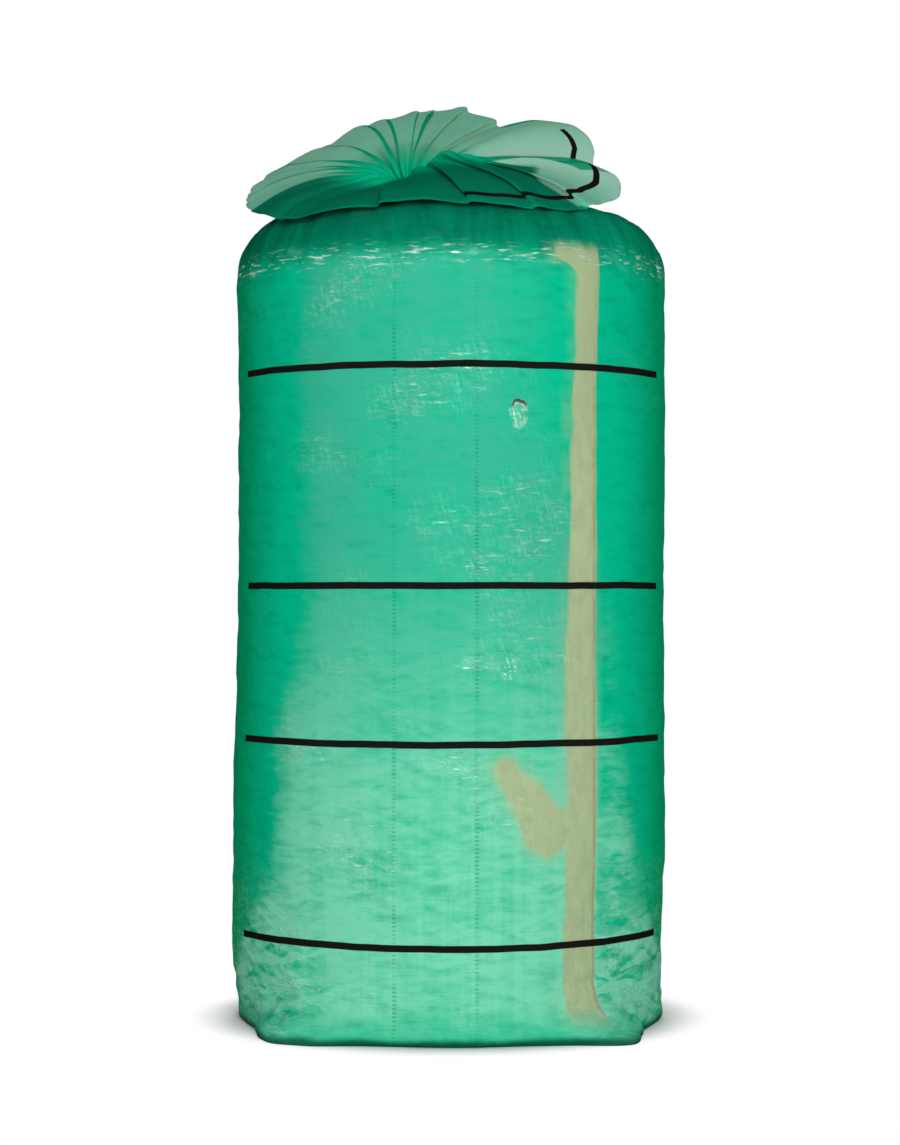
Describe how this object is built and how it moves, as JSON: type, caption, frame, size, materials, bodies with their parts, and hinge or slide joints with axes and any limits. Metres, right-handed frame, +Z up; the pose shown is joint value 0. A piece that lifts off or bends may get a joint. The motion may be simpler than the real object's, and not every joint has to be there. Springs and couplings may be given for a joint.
{
  "type": "insulation roll",
  "caption": "Faced glass-wool insulation blanket, rolled up and standing on its end in a green film bag whose mouth is gathered, tied and spread over the top",
  "frame": {"origin": "on the floor, at the middle of the bag's foot, under the roll's axis", "axes": "+Z up along the roll's axis, -Y the printed front that the picture shows, +X to the right of that front"},
  "size_m": [0.64, 0.64, 1.412],
  "materials": {
    "faced_wool": "matte",
    "green_film": "glossy",
    "tie_plastic": "satin"
  },
  "bodies": {
    "root": {"blanket_roll": "faced_wool", "bag": "green_film", "neck_tie": "tie_plastic"}
  },
  "joints": []
}
